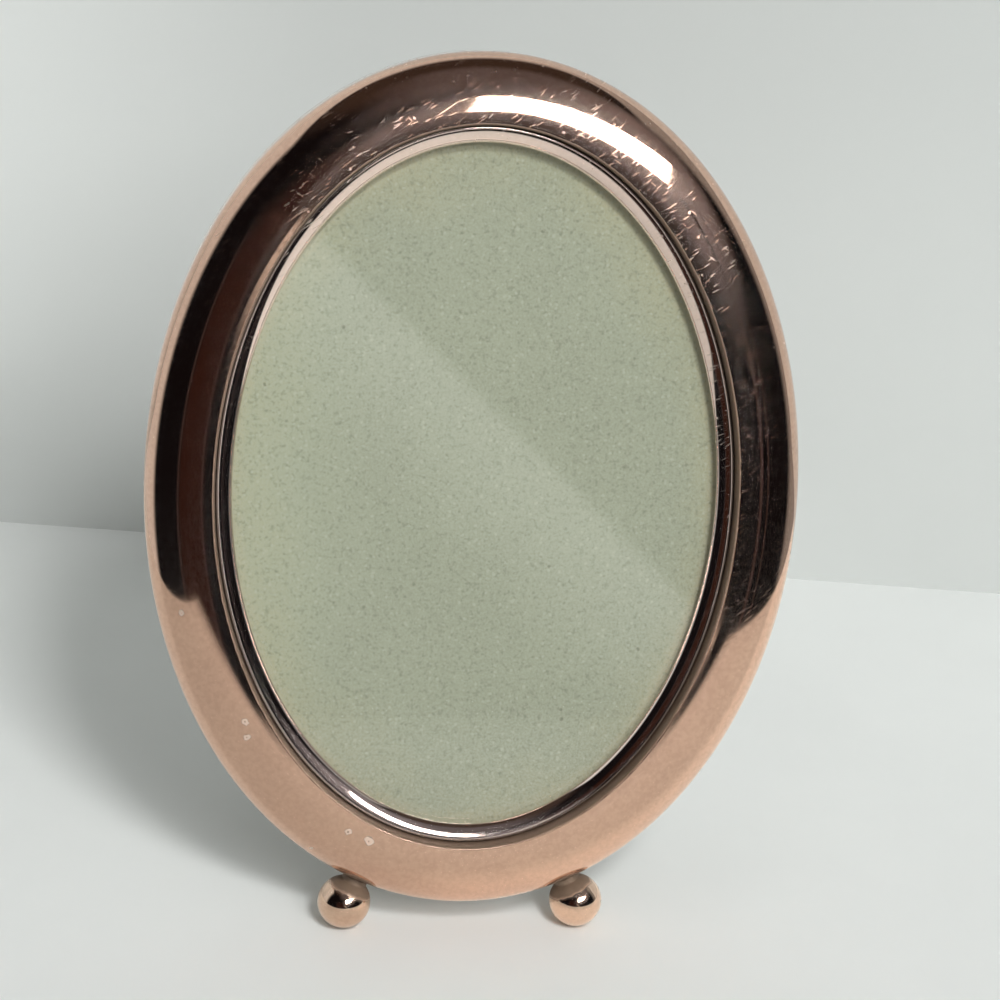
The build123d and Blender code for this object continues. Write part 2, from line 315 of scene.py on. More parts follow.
def grid_piece(name, points, close_rows, close_columns, smooth=True, shade_and_grime=0.0):
    """Piece from a grid of points: quads between neighbours, joined up where a direction is closed.

    Its UV map holds lengths in metres: the mean spacing of the grid lines, added up along rows and columns.
    Its per-point attribute for dirt and painted shade holds a value for each column of points, from 0 for
    clean to 1 for dark."""
    rows, columns = points.shape[:2]
    quad_rows = rows if close_rows else rows - 1
    quad_columns = columns if close_columns else columns - 1
    i, j = np.meshgrid(np.arange(quad_rows), np.arange(quad_columns), indexing="ij")
    row = np.stack([i, i + 1, i + 1, i], axis=-1).reshape(-1, 4)
    column = np.stack([j, j, j + 1, j + 1], axis=-1).reshape(-1, 4)
    mesh = bpy.data.meshes.new(name)
    mesh.from_pydata(points.reshape(-1, 3), [], (row % rows * columns + column % columns).tolist())
    lengths = []
    for axis, index in ((0, row), (1, column)):
        spacing = np.linalg.norm(np.roll(points, -1, axis=axis) - points, axis=-1).mean(axis=1 - axis)
        lengths.append(np.concatenate([[0.0], np.cumsum(spacing)])[index])
    mesh.uv_layers.new(name="lengths").data.foreach_set("uv", np.stack(lengths, axis=-1).ravel())
    shade_and_dirt = np.broadcast_to(shade_and_grime, (rows, columns)).ravel()
    mesh.attributes.new("shade_and_grime", "FLOAT", "POINT").data.foreach_set("value", shade_and_dirt.astype(np.float32))
    mesh.polygons.foreach_set("use_smooth", np.full(len(mesh.polygons), smooth))
    tidy = bmesh.new()
    tidy.from_mesh(mesh)
    bmesh.ops.remove_doubles(tidy, verts=tidy.verts, dist=WELD_DISTANCE)
    bmesh.ops.recalc_face_normals(tidy, faces=tidy.faces)
    tidy.to_mesh(mesh)
    tidy.free()
    piece = bpy.data.objects.new(name, mesh)
    bpy.context.scene.collection.objects.link(piece)
    return piece


def oval_ring(name, outline, count, shade_and_grime):
    """Closed ring: sight edge + the outline's outward length along its normal, at its forward level."""
    outline = np.asarray(outline) * MM
    flat = oval_place(even_angles(count)[:, None], outline[None, :, 0])
    points = place(flat[..., 0], flat[..., 1], outline[None, :, 1])
    return grid_piece(name, points, True, True, shade_and_grime=shade_and_grime)


def finish_piece(piece, body, slot, material, *replaced):
    """Gives a piece its finish, its body and the nodes that it stands for."""
    piece.data.materials.append(material)
    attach(piece, body)
    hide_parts(*replaced)
    print(piece.name, "faces:", len(piece.data.polygons))


# %% [markdown]
# The polished metal is copper with a thin clear lacquer. What shows that it is real are the marks of years
# of wiping: short scratches, most of them rising to the right as one hand wiped them, a few longer ones, a
# haze that follows the surface, and pale specks where drops dried. Most are at the top, where the frame is
# picked up.
#
# A scratch is given by its turn in radians, the length and width of the cell that it lies in, in
# millimetres, and the share of cells that hold one. A dried drop is given by its angle round the oval in
# degrees and three lengths in millimetres: outwards from the sight edge, forwards from the ring's back, and
# its radius.

# %% Marks on the copper
RIM = 15.0  # the ring's outer edge, in millimetres from the sight edge, as in the sections below
FOOT_ANGLE, FOOT_SETBACK = np.radians(17.5), 3.4 * MM
FOOT_ANGLES = {"left": -FOOT_ANGLE, "right": FOOT_ANGLE}
SCRATCHES = [(0.55, 8.0, 1.1, 0.75), (0.72, 7.0, 0.9, 0.65), (0.42, 9.0, 0.9, 0.60), (0.62, 12.0, 1.3, 0.45),
             (-0.6, 8.0, 1.0, 0.22), (0.62, 30.0, 0.9, 0.16)]
SCRATCH_SIZE, HANDLED = 0.105, (-0.03, 0.035)
DRIED_DROPS = [(307.75, 6.86, 11.17, 0.72), (310.25, 7.92, 10.97, 0.70), (288.1, 10.6, 10.1, 0.66),
               (335.4, 6.45, 11.23, 0.74), (339.8, 6.03, 11.28, 0.95), (332.65, 13.12, 8.56, 0.50)]
# Round each foot's root the copper is painted dark brown: partly dirt, partly painted shade where ball and
# ring meet.
DROP_RAGGEDNESS, FOOT_SHADE_AND_DIRT = 1.2 * MM, (6.3 * MM, 3.4 * MM)
foot_roots = {side: oval_place(angle, RIM * MM) for side, angle in FOOT_ANGLES.items()}


def scratches(finish, worn):
    """Short strokes and pits, from 0 to 1, plainer on worn metal and only where the frame is handled."""
    picture = finish.picture_place()
    lines = []
    for turn, length, width, chance in SCRATCHES:
        cells = finish.stretched(picture, (0.0, 0.0, turn), (length * MM, width * MM, MM))
        lines.append(finish.flecks(cells, 1.0, SCRATCH_SIZE, chance, "2D"))
    strokes = reduce(Wire.larger, lines)
    pits = finish.flecks(finish.spot(), 420.0, 0.13, 0.6)
    handled = finish.fade(finish.along(upward) + 0.45 * finish.along(across), *HANDLED)
    return (strokes * (0.5 + 0.5 * worn)).larger(pits) * handled


def dried_drops(finish):
    """Ragged round marks, from 0 to 1, each stronger at its rim than in its middle."""
    warp = (finish.noise(finish.spot(), 1100.0, 3.0) - 0.5) * DROP_RAGGEDNESS
    drops = []
    for angle, outward, forward, radius in DRIED_DROPS:
        size = radius * MM
        off_middle = finish.near(place(*oval_place(np.radians(angle), outward * MM), forward * MM)) + warp
        inside = finish.fade(off_middle, 1.05 * size, 0.55 * size)
        drops.append(inside * (0.45 + 0.55 * finish.fade(off_middle, 0.0, 0.6 * size)))
    return reduce(Wire.larger, drops)


def corner_shade_and_dirt(finish):
    """Dirt and painted shade, 0 to 1: the piece's own values and a patch round each foot's root, with ragged
    edges.
    """
    shade_and_dirt = finish.node("ShaderNodeAttribute", {"attribute_name": "shade_and_grime"}, {}, "Fac")
    for root in foot_roots.values():
        shade_and_dirt = shade_and_dirt.larger(finish.fade(finish.near(place(*root, FOOT_SETBACK)), *FOOT_SHADE_AND_DIRT))
    return finish.fade(shade_and_dirt + (finish.noise(finish.spot(), 600.0, 3.0, 0.6) - 0.5) * 0.5, 0.25, 0.75)


print("scratch layers:", len(SCRATCHES), "dried drops:", len(DRIED_DROPS))

# %% [markdown]
# The marks come together in one copper. Worn and hazy patches make it a little rougher, scratches and dried
# drops much rougher, and a dark brown that is partly dirt and partly painted shade hides both the metal and
# its lacquer.

# %% Polished copper
COPPER_BRIGHT, COPPER_DULL = (0.765, 0.505, 0.382), (0.67, 0.427, 0.318)
# The dark brown is partly dirt and partly painted shade, in the groove and where the feet meet the ring.
DROP_COLOUR, SHADE_AND_DIRT_COLOUR = (0.72, 0.64, 0.56), (0.10, 0.068, 0.042)
SMEAR_TURN, SMEAR_SIZE = 0.55, (2.5 * MM, 0.35 * MM, MM)
LACQUER_ROUGHNESS = 0.33


def polished_copper(name, bright, dull):
    """Copper whose roughness follows haze and scratches, with dried drops, and dirt and painted shade in
    corners.
    """
    finish = new_finish(name)
    spot = finish.spot()
    worn = finish.fade(finish.noise(spot, 85.0, 4.0, 0.6), 0.35, 0.7)
    fine = finish.fade(finish.noise(spot, 1100.0, 4.0, 0.7), 0.35, 0.65)
    scratch, drops, shade_and_dirt = scratches(finish, worn), dried_drops(finish), corner_shade_and_dirt(finish)
    wiped = finish.stretched(finish.surface(), (0.0, 0.0, SMEAR_TURN), SMEAR_SIZE)
    smear = finish.fade(finish.noise(wiped, 1.0, 3.0), 0.38, 0.72)
    tone = finish.mix(worn * 0.4 + fine * 0.6, bright, dull)
    tone = finish.mix(drops * 0.6, tone, DROP_COLOUR)
    lacquer = (0.2 + 0.8 * smear.larger(fine)) * (0.6 + 0.4 * worn) * (1.0 - shade_and_dirt)
    # Where the mask is high the copper is painted dark brown and made matt: dirt, and painted shade that
    # hides glints.
    finish.set(Base_Color=finish.mix(shade_and_dirt * 0.85, tone, SHADE_AND_DIRT_COLOUR),
               Metallic=(1.0 - drops * 0.6) * (1.0 - shade_and_dirt * 0.8),
               Roughness=0.035 + worn * 0.02 + fine * 0.02 + scratch * 0.24 + drops * 0.45 + shade_and_dirt * 0.55,
               Coat_Weight=lacquer, Coat_Roughness=LACQUER_ROUGHNESS)
    return finish.owner


copper = polished_copper("polished_copper", COPPER_BRIGHT, COPPER_DULL)
print("copper nodes:", len(copper.node_tree.nodes))

# %% [markdown]
# A section's points are millimetres outwards from the sight edge and forwards from the ring's back. The
# shell's runs up its skirt, over the crown and the roll, down into the groove, and back along the inside of
# the sheet.

# %% Front shell
RING_STEPS = 640
SHEET, SKIRT, CREST, CROWN_FOOT = 0.8, 5.0, 11.4, 4.2
GROOVE, ROLL, SEAT = 3.0, 0.4, 7.6
# In the groove and on the roll the copper is painted dark brown: partly dirt, partly painted shade, which
# also dims the roll's highlight.
GROOVE_SHADE_AND_DIRT_REACH = 3.5
GROOVE_SHADE_AND_DIRT_LEVELS, GROOVE_SHADE_AND_DIRT = (8.5, 10.6, 11.3, 11.4), (0.8, 0.8, 1.0, 0.4)

SHELL_SECTION = section(
    straight((RIM - SHEET, 0.0), (RIM, 0.0), 4),
    straight((RIM, 0.0), (RIM, SKIRT), 8),
    arc((CROWN_FOOT, SKIRT), (RIM - CROWN_FOOT, CREST - SKIRT), 0, 90, 64),
    straight((CROWN_FOOT, CREST), (GROOVE + ROLL, CREST), 5),
    arc((GROOVE + ROLL, CREST - ROLL), (ROLL, ROLL), 90, 180, 10),
    straight((GROOVE, CREST - ROLL), (GROOVE, SEAT), 8),
    straight((GROOVE, SEAT), (GROOVE + SHEET, SEAT), 3),
    straight((GROOVE + SHEET, SEAT), (GROOVE + SHEET, CREST - SHEET), 4),
    arc((CROWN_FOOT, SKIRT), (RIM - SHEET - CROWN_FOOT, CREST - SHEET - SKIRT), 90, 0, 20),
    straight((RIM - SHEET, SKIRT), (RIM - SHEET, 0.0), 5),
)
in_groove = SHELL_SECTION[:, 0] < GROOVE_SHADE_AND_DIRT_REACH
groove_shade_and_dirt = np.interp(SHELL_SECTION[:, 1], GROOVE_SHADE_AND_DIRT_LEVELS, GROOVE_SHADE_AND_DIRT) * in_groove
shell = oval_ring("copper_shell", SHELL_SECTION, RING_STEPS, groove_shade_and_dirt)
finish_piece(shell, "frame_body", "polished_copper", copper, "front_shell")

# %% [markdown]
# Inside the crown a narrow groove runs round a sloping lip beside the glass. The lip is a shallow round
# slope that looks in towards the picture: at the top it holds the pale table, at the bottom the window. Its
# copper is a paler copy of the ring's, which paints its reflections lighter, and its side towards the groove
# is painted dark brown, partly dirt and partly painted shade.

# %% Sight lip
# The lip's copper is a paler copy of the ring's, so that its reflections are painted lighter.
LIP_LIGHTENED_BRIGHT, LIP_LIGHTENED_DULL = (1.0, 0.825, 0.76), (0.96, 0.775, 0.69)
LIP_BACK, LIP_WIDTH, LIP_SHOULDER, LIP_ROUND = 6.9, 2.7, 8.46, 0.2
SLOPE_MIDDLE, SLOPE_RADIUS, SLOPE_START, SLOPE_END = (2.6, 5.56), 3.1, 92, 147
SIGHT_LEVEL, LIP_SHADE_AND_DIRT_START = 7.25, 2.55

LIP_SECTION = section(
    straight((0.0, LIP_BACK), (GROOVE + SHEET, LIP_BACK), 4),
    straight((GROOVE + SHEET, LIP_BACK), (GROOVE + SHEET, SEAT), 3),
    straight((GROOVE + SHEET, SEAT), (LIP_WIDTH, SEAT), 4),
    straight((LIP_WIDTH, SEAT), (LIP_WIDTH, LIP_SHOULDER), 5),
    arc((LIP_WIDTH - LIP_ROUND, LIP_SHOULDER), (LIP_ROUND, LIP_ROUND), 0, 90, 5),
    arc(SLOPE_MIDDLE, (SLOPE_RADIUS, SLOPE_RADIUS), SLOPE_START, SLOPE_END, 44),
    straight((0.0, SIGHT_LEVEL), (0.0, LIP_BACK), 4),
)
lip_copper_painted_paler = polished_copper("lip_copper_painted_paler", LIP_LIGHTENED_BRIGHT, LIP_LIGHTENED_DULL)
# The lip's side towards the groove is painted dark brown too: partly dirt, partly painted shade.
lip = oval_ring("sight_lip", LIP_SECTION, RING_STEPS, LIP_SECTION[:, 0] > LIP_SHADE_AND_DIRT_START)
finish_piece(lip, "frame_body", "polished_copper", lip_copper_painted_paler, "sight_ring")

# %% [markdown]
# The ball feet are turned balls on short necks. A ball is a circle spun about the neck's axis; the few
# points that would sink below the floor are lifted to it, which gives the small worn flat that each ball
# rests on. Their metal is slightly yellower than the ring's. Round the neck, and on the ring round each
# foot's root, the copper is painted dark brown: partly dirt, partly painted shade where ball and ring meet.

# %% Ball feet
BALL_BRIGHT, BALL_DULL = (0.79, 0.56, 0.425), (0.69, 0.475, 0.355)
NECK_RADIUS, NECK_ROOT, NECK_END, NECK_SHADE_AND_DIRT = 2.3, 0.1, 1.09, (1.2, 2.8)
BALL_RADIUS, BALL_MIDDLE, BALL_START, BALL_STEPS = 4.75, 5.25, -61, 96

BALL_SECTION = np.concatenate([
    section(straight((0.0, NECK_ROOT), (NECK_RADIUS, NECK_ROOT), 4),
            straight((NECK_RADIUS, NECK_ROOT), (NECK_RADIUS, NECK_END), 4)),
    arc((0.0, BALL_MIDDLE), (BALL_RADIUS, BALL_RADIUS), BALL_START, 90, 60),
])
ball_copper = polished_copper("ball_copper", BALL_BRIGHT, BALL_DULL)
# The neck and the top of each ball are painted dark brown: partly dirt, partly painted shade under the ring.
neck_shade_and_dirt = np.interp(BALL_SECTION[:, 1], NECK_SHADE_AND_DIRT, [1.0, 0.0])


def spun(outline, origin, axis, beside, count):
    """Grid of points: origin + height along the axis + radius (cos t beside + sin t across it)."""
    t = np.arange(count)[:, None] / count * 2 * np.pi
    other = np.cross(axis, beside)
    radius = outline[None, :, 0]
    height = np.broadcast_to(outline[None, :, 1], (count, outline.shape[0]))
    return (origin + (radius * np.cos(t))[..., None] * beside + (radius * np.sin(t))[..., None] * other
            + height[..., None] * axis)


for side, root in foot_roots.items():
    away = unit(root - oval_place(FOOT_ANGLES[side], 0.0))
    neck_line = away[0] * across + away[1] * upward
    points = spun(BALL_SECTION * MM, place(*root, FOOT_SETBACK), neck_line, outward_face, BALL_STEPS)
    points[..., 2] = np.maximum(points[..., 2], 0.0)
    ball = grid_piece(f"ball_foot_{side}", points, True, False, shade_and_grime=neck_shade_and_dirt)
    finish_piece(ball, "frame_body", "polished_copper", ball_copper, f"foot_ball_{side}")

# %% [markdown]
# The card behind the glass is a cheap grey-green paper board: cloudy, full of fibres and dark and pale
# flecks, and yellowed where air reached its edge. Light and shade are painted on it too: its left side is
# painted paler and its foot painted duller than the rest. Flecks are given by their cells in a metre, their
# size in cells, the share of cells that hold one, their strength and colour.

# %% Mottled card
CARD_DARK, CARD_PALE = (0.366, 0.370, 0.290), (0.398, 0.402, 0.315)
CARD_YELLOWED, CARD_EDGE = (0.45, 0.408, 0.275), (0.60, 0.50, 0.34)
CARD_PAINTED_LIGHT, CARD_PAINTED_LIGHT_REACH = (0.52, 0.53, 0.40), (-15.0 * MM, -42.0 * MM)
CARD_PAINTED_SHADE, CARD_PAINTED_SHADE_REACH = (0.27, 0.275, 0.20), (-30.0 * MM, -56.0 * MM)
PALE_FIBRE, DARK_FIBRE = (0.50, 0.51, 0.42), (0.22, 0.23, 0.165)
CARD_FLECKS = [(1000.0, 0.30, 0.50, 0.26, (0.17, 0.18, 0.13)), (850.0, 0.30, 0.55, 0.34, (0.58, 0.58, 0.49)),
               (300.0, 0.11, 0.10, 0.50, (0.12, 0.12, 0.08))]
FLECK_RAGGEDNESS = (0.5 * MM, 0.5 * MM, 0.5 * MM)


def mottled_card():
    """Grey-green card with clouds, fibres and flecks, warmer towards the oval edge, with painted light and
    shade.
    """
    finish = new_finish("mottled_card")
    spot, sideways, height = finish.spot(), finish.along(across), finish.along(upward)
    cloud = finish.noise(spot, 45.0, 5.0, 0.6)
    grain = finish.noise(spot, 2400.0, 3.0, 0.7)
    pulp = finish.noise(spot, 1300.0, 3.0, 0.65)
    round_edge = (sideways / (SIGHT_WIDTH / 2)) ** 2.0 + (height / (SIGHT_HEIGHT / 2)) ** 2.0
    yellowed = finish.fade(round_edge + (cloud - 0.5) * 0.9, 0.55, 1.15)
    browned = finish.fade(round_edge + (cloud - 0.5) * 0.12, 0.90, 1.0)
    paper = finish.mix(finish.fade(cloud, 0.3, 0.7), CARD_DARK, CARD_PALE)
    paper = finish.mix(yellowed * 0.75, paper, CARD_YELLOWED)
    paper = finish.mix(browned * 0.55, paper, CARD_EDGE)
    # Painted light on the card's left side, then painted shade at its foot.
    paper = finish.mix(finish.fade(sideways, *CARD_PAINTED_LIGHT_REACH) * 0.5, paper, CARD_PAINTED_LIGHT)
    paper = finish.mix(finish.fade(height, *CARD_PAINTED_SHADE_REACH) * 0.35, paper, CARD_PAINTED_SHADE)
    paper = finish.mix(finish.fade(grain, 0.35, 0.65) * 0.45, paper, PALE_FIBRE)
    paper = finish.mix(finish.fade(pulp, 0.50, 0.70) * 0.44, paper, DARK_FIBRE)
    push = finish.node("ShaderNodeTexNoise", {}, {"Vector": spot, "Scale": 1800.0}, "Color")
    ragged = finish.node("ShaderNodeVectorMath", {"operation": "MULTIPLY_ADD"},
                         {0: push, 1: FLECK_RAGGEDNESS, 2: spot})
    for scale, size, chance, strength, fleck in CARD_FLECKS:
        paper = finish.mix(finish.flecks(ragged, scale, size, chance) * strength, paper, fleck)
    finish.set(Base_Color=paper, Roughness=0.85 + grain * 0.1)
    finish.bump(grain * 0.6 + pulp * 0.4, 0.06 * MM, 0.6)
    return finish.owner


def dress(names, material):
    """Gives CAD nodes a finish."""
    for name in names:
        nodes[name].data.materials.clear()
        nodes[name].data.materials.append(material)
    print(material.name, "on", ", ".join(names))


dress(["insert_card"], mottled_card())

# %% [markdown]
# The glass is plain picture glass, clear with a faintly green body. Light has to reach the card through it,
# so shadow rays and the rays that a matt surface sends on pass straight through, while the rest see real
# glass. Its faces stop a twentieth of a millimetre short of the card and the lip: two faces in one plane
# would show as a pattern of streaks.

# %% Picture glass
GLASS_BODY, GLASS_TINT, GLASS_IOR = (0.985, 0.995, 0.985), (0.93, 0.95, 0.93), 1.5
GLASS_OVERLAP, GLASS_BACK, GLASS_FRONT = 2.7 * MM, 4.95 * MM, 6.85 * MM
GLASS_STEPS = 256


def picture_glass():
    """Clear glass that lets light through to the card and back."""
    finish = new_finish("picture_glass")
    finish.set(Base_Color=(*GLASS_BODY, 1.0), Transmission_Weight=1.0, IOR=GLASS_IOR, Roughness=0.0)
    finish.through(finish.ray("Shadow").larger(finish.ray("Diffuse")), finish.clear(GLASS_TINT))
    return finish.owner


glass_edge = oval_place(even_angles(GLASS_STEPS)[:, None], np.array([[GLASS_OVERLAP]]))
from_middle = np.array([0.0, 1.0, 1.0, 0.0])
glass_level = np.array([[GLASS_BACK, GLASS_BACK, GLASS_FRONT, GLASS_FRONT]])
glass_points = place(glass_edge[..., 0] * from_middle, glass_edge[..., 1] * from_middle, glass_level)
glass = grid_piece("picture_glass", glass_points, True, False, smooth=False)
finish_piece(glass, "frame_body", "clear_glass", picture_glass(), "glass_pane")

# %% [markdown]
# Behind, the ring is closed by dull tinned sheet, the back and the strut are covered in dark flocked paper,
# and the hinge, buttons and rivets are brass that has gone slightly brown.

# %% Metals and boards of the back
FLOCK_DARK, FLOCK_RUBBED = (0.046, 0.020, 0.015), (0.125, 0.066, 0.050)
FLOCK_NAP, FLOCK_PILE, LINT = (0.17, 0.098, 0.076), (0.16, 0.092, 0.072), (0.35, 0.31, 0.27)
NAP_TURN, NAP_SIZE = (0.2, 0.3, 0.0), (1.2 * MM, 1.2 * MM, 4.5 * MM)
FIBRE_TURN, FIBRE_SIZE = (0.2, 0.4, 0.9), (3.0 * MM, 0.6 * MM, 0.6 * MM)


def worn_metal(name, bright, dull, roughness, cloud_scale):
    """Metal that is bright where it was rubbed and dull between, with fine grain."""
    finish = new_finish(name)
    cloud = finish.noise(finish.spot(), cloud_scale, 5.0, 0.62)
    grain = finish.noise(finish.spot(), 2600.0, 2.0, 0.6)
    tarnish = finish.fade(cloud, 0.35, 0.72)
    finish.set(Base_Color=finish.mix(tarnish, bright, dull), Metallic=1.0,
               Roughness=roughness + tarnish * 0.18 + (grain - 0.5) * 0.08)
    finish.bump(grain * 0.5 + cloud * 0.5, 0.02 * MM)
    return finish.owner


def flocked_paper():
    """Short dark flock: fine fibres lying in streaks, with paler rubbed patches, lint and a soft sheen."""
    finish = new_finish("flocked_paper")
    spot = finish.spot()
    pile = finish.noise(spot, 2600.0, 4.0, 0.8)
    nap = finish.noise(finish.stretched(spot, NAP_TURN, NAP_SIZE), 1.0, 4.0, 0.65)
    rubbed = finish.noise(spot, 55.0, 5.0, 0.6)
    lint = finish.flecks(spot, 330.0, 0.12, 0.06)
    tone = finish.mix(finish.fade(rubbed, 0.4, 0.68), FLOCK_DARK, FLOCK_RUBBED)
    tone = finish.mix(finish.fade(nap, 0.42, 0.68) * 0.5, tone, FLOCK_NAP)
    tone = finish.mix(finish.fade(pile, 0.4, 0.75) * 0.5, tone, FLOCK_PILE)
    finish.set(Base_Color=finish.mix(lint * 0.35, tone, LINT), Roughness=0.95,
               Sheen_Weight=0.35, Sheen_Roughness=0.5)
    finish.bump(pile * 0.6 + nap * 0.4, 0.25 * MM)
    return finish.owner


def fibre_board(name, pale, dark):
    """Pressed fibre board: tangled short fibres in two browns."""
    finish = new_finish(name)
    fibres = finish.noise(finish.stretched(finish.spot(), FIBRE_TURN, FIBRE_SIZE), 1.0, 4.0, 0.7)
    cloud = finish.noise(finish.spot(), 150.0, 4.0, 0.6)
    finish.set(Base_Color=finish.mix(finish.fade(fibres * 0.6 + cloud * 0.4, 0.35, 0.65), pale, dark),
               Roughness=0.8 + cloud * 0.15)
    finish.bump(fibres, 0.08 * MM)
    return finish.owner


brass = worn_metal("hinge_brass", (0.72, 0.52, 0.24), (0.42, 0.29, 0.13), 0.24, 190.0)
dress(["rear_ring"], worn_metal("tinned_back", (0.62, 0.57, 0.50), (0.42, 0.37, 0.31), 0.30, 60.0))
dress(["hinge_plate", "hinge_leaf", "hinge_pin"], brass)
dress([f"turn_button_{row}_{side}" for row in ("upper", "lower") for side in ("left", "right")], brass)
dress(["hinge_plate_rivets", "hinge_leaf_rivets", "turn_button_rivets"],
      worn_metal("rivet_brass", (0.78, 0.58, 0.28), (0.52, 0.37, 0.17), 0.18, 400.0))
dress(["foot_studs", "foot_washers", "foot_nuts"],
      worn_metal("plain_steel", (0.60, 0.60, 0.59), (0.42, 0.41, 0.40), 0.28, 300.0))
dress(["back_cover", "strut_cover"], flocked_paper())
dress(["back_board", "strut_core"], fibre_board("fibre_board", (0.34, 0.22, 0.13), (0.20, 0.12, 0.07)))
dress(["packing_card"], fibre_board("grey_board", (0.42, 0.39, 0.33), (0.30, 0.27, 0.23)))

# %% [markdown]
# The stage is a pale floor and a low pale wall. A polished ring shows the whole room, so what it sees is
# shaped as a photographer would with dark cards: for reflected rays alone, the floor ends a little way out
# on each side and towards the camera, and it is slightly warm. For those rays it also carries painted light:
# a painted pool of light close to the ring on the right, and painted shade that dims it to the left and far
# out. Seen directly, it fades into the pale background far out.

# %% Floor
FLOOR_COLOUR, MIRRORED_FLOOR, MIRRORED_LIGHT_POOL = (0.80, 0.822, 0.805), (0.78, 0.772, 0.72), (1.0, 0.985, 0.915)
FLOOR_REACH, FLOOR_FADE = 3.0, (0.35, 1.1)
SEEN_LEFT, SEEN_RIGHT, SEEN_FRONT = (-0.232, -0.224), (0.239, 0.231), (-0.64, -0.32)
PAINTED_SHADE_SEEN, UNSHADED_Y, UNSHADED_X = 0.83, (-0.36, -0.05), (-0.06, 0.02)
LIGHT_POOL_Y, LIGHT_POOL_X = (-0.062, -0.036), (-0.02, 0.01)
PAINT_ROUGHNESS, PAINT_SHADE = 0.8, 0.97


def pale_paint(name, colour):
    """Matt paint with a very faint unevenness."""
    finish = new_finish(name)
    cloud = finish.fade(finish.noise(finish.spot(), 14.0, 4.0, 0.6), 0.3, 0.7)
    return finish, finish.mix(cloud, colour, tuple(PAINT_SHADE * c for c in colour))


def stage_sheet(name, corners, finish):
    """Flat four-cornered sheet that belongs to the stage: corner points in order round it."""
    mesh = bpy.data.meshes.new(name)
    mesh.from_pydata(corners, [], [(0, 1, 2, 3)])
    mesh.materials.append(finish.owner)
    sheet = bpy.data.objects.new(name, mesh)
    bpy.context.scene.collection.objects.link(sheet)
    print(name, "at", np.mean(corners, axis=0).round(3))


floor, floor_colour = pale_paint("floor_paint", FLOOR_COLOUR)
floor_x, floor_y = floor.parts(floor.spot(), "XY")
seen = floor.fade(floor_x, *SEEN_LEFT) * floor.fade(floor_x, *SEEN_RIGHT) * floor.fade(floor_y, *SEEN_FRONT)
# Painted shade: to the left and far out, reflected rays see only part of the floor, so it looks dimmer there.
seen = seen * (PAINTED_SHADE_SEEN + (1.0 - PAINTED_SHADE_SEEN) * floor.fade(floor_y, *UNSHADED_Y) * floor.fade(floor_x, *UNSHADED_X))
# A painted pool of light: the floor that reflected rays see is paler close to the ring on the right.
ring_light_pool = floor.fade(floor_y, *LIGHT_POOL_Y) * floor.fade(floor_x, *LIGHT_POOL_X)
mirrored_colour = floor.mix(ring_light_pool, MIRRORED_FLOOR, MIRRORED_LIGHT_POOL)
floor.set(Base_Color=floor.mix(floor.ray("Glossy"), floor_colour, mirrored_colour), Roughness=PAINT_ROUGHNESS)
far_out = floor.fade(floor.near((0.0, 0.0, 0.0)), *FLOOR_FADE)
floor.through(((1.0 - seen) * floor.ray("Glossy")).larger(far_out * floor.ray("Camera")), floor.clear())
floor_corners = [(FLOOR_REACH * x, FLOOR_REACH * y, 0.0) for x, y in ((-1, -1), (1, -1), (1, 1), (-1, 1))]
stage_sheet("floor", floor_corners, floor)

# %% [markdown]
# The wall is close behind the frame, so that the rim of the ring picks it up. Its colour carries painted
# light and shade: it is painted lighter at the left, above its foot, and elsewhere painted duller towards the
# top. It is clear from its other side, so that the frame's back can be seen past it.

# %% Wall
WALL_COLOUR, WALL_PAINTED_SHADE, WALL_PAINTED_LIGHT = (0.66, 0.683, 0.665), (0.60, 0.622, 0.606), (0.80, 0.826, 0.806)
WALL_LEFT, WALL_RIGHT, WALL_HEIGHT = (-0.95, 0.278), (0.75, 0.022), 0.33
PAINTED_LIGHT_X, PAINTED_LIGHT_Z, PAINTED_SHADE_Z = (0.0, -0.12), (0.01, 0.06), (0.07, 0.15)

wall, wall_colour = pale_paint("wall_paint", WALL_COLOUR)
wall_x, wall_z = wall.parts(wall.spot(), "XZ")
# Painted shade: the wall is painted duller towards the top.
wall_colour = wall.mix(wall.fade(wall_z, *PAINTED_SHADE_Z), wall_colour, WALL_PAINTED_SHADE)
# Painted light: the wall is painted lighter at the left, above its foot.
paler = wall.fade(wall_x, *PAINTED_LIGHT_X) * wall.fade(wall_z, *PAINTED_LIGHT_Z)
wall.set(Base_Color=wall.mix(paler, wall_colour, WALL_PAINTED_LIGHT), Roughness=PAINT_ROUGHNESS)
wall.through(wall.node("ShaderNodeNewGeometry", {}, {}, "Backfacing"), wall.clear())
wall_foot = [(*WALL_LEFT, 0.0), (*WALL_RIGHT, 0.0)]
wall_top = [(*WALL_RIGHT, WALL_HEIGHT), (*WALL_LEFT, WALL_HEIGHT)]
stage_sheet("wall", wall_foot + wall_top, wall)

# %% [markdown]
# Three soft lights, from the right, from in front and from overhead, light everything that is matt. The
# polished ring would mirror them, so reflected rays don't see them. Each is given by its bearing and height
# in degrees, its distance and sides in metres, and its power in watts.

# %% Soft lights
LIGHTS = {
    "side_light": (24.0, 30.0, 2.0, (1.0, 0.6), 14.0),
    "front_light": (16.0, 46.0, 1.6, (0.3, 0.3), 13.3),
    "overhead_light": (10.0, 80.0, 0.9, (0.9, 0.9), 1.0),
}


def direction(bearing, height):
    """Unit vector on a bearing from straight in front towards +X and a height above level, in degrees."""
    turn, rise = np.radians([bearing, height])
    return np.array([np.sin(turn) * np.cos(rise), -np.cos(turn) * np.cos(rise), np.sin(rise)])


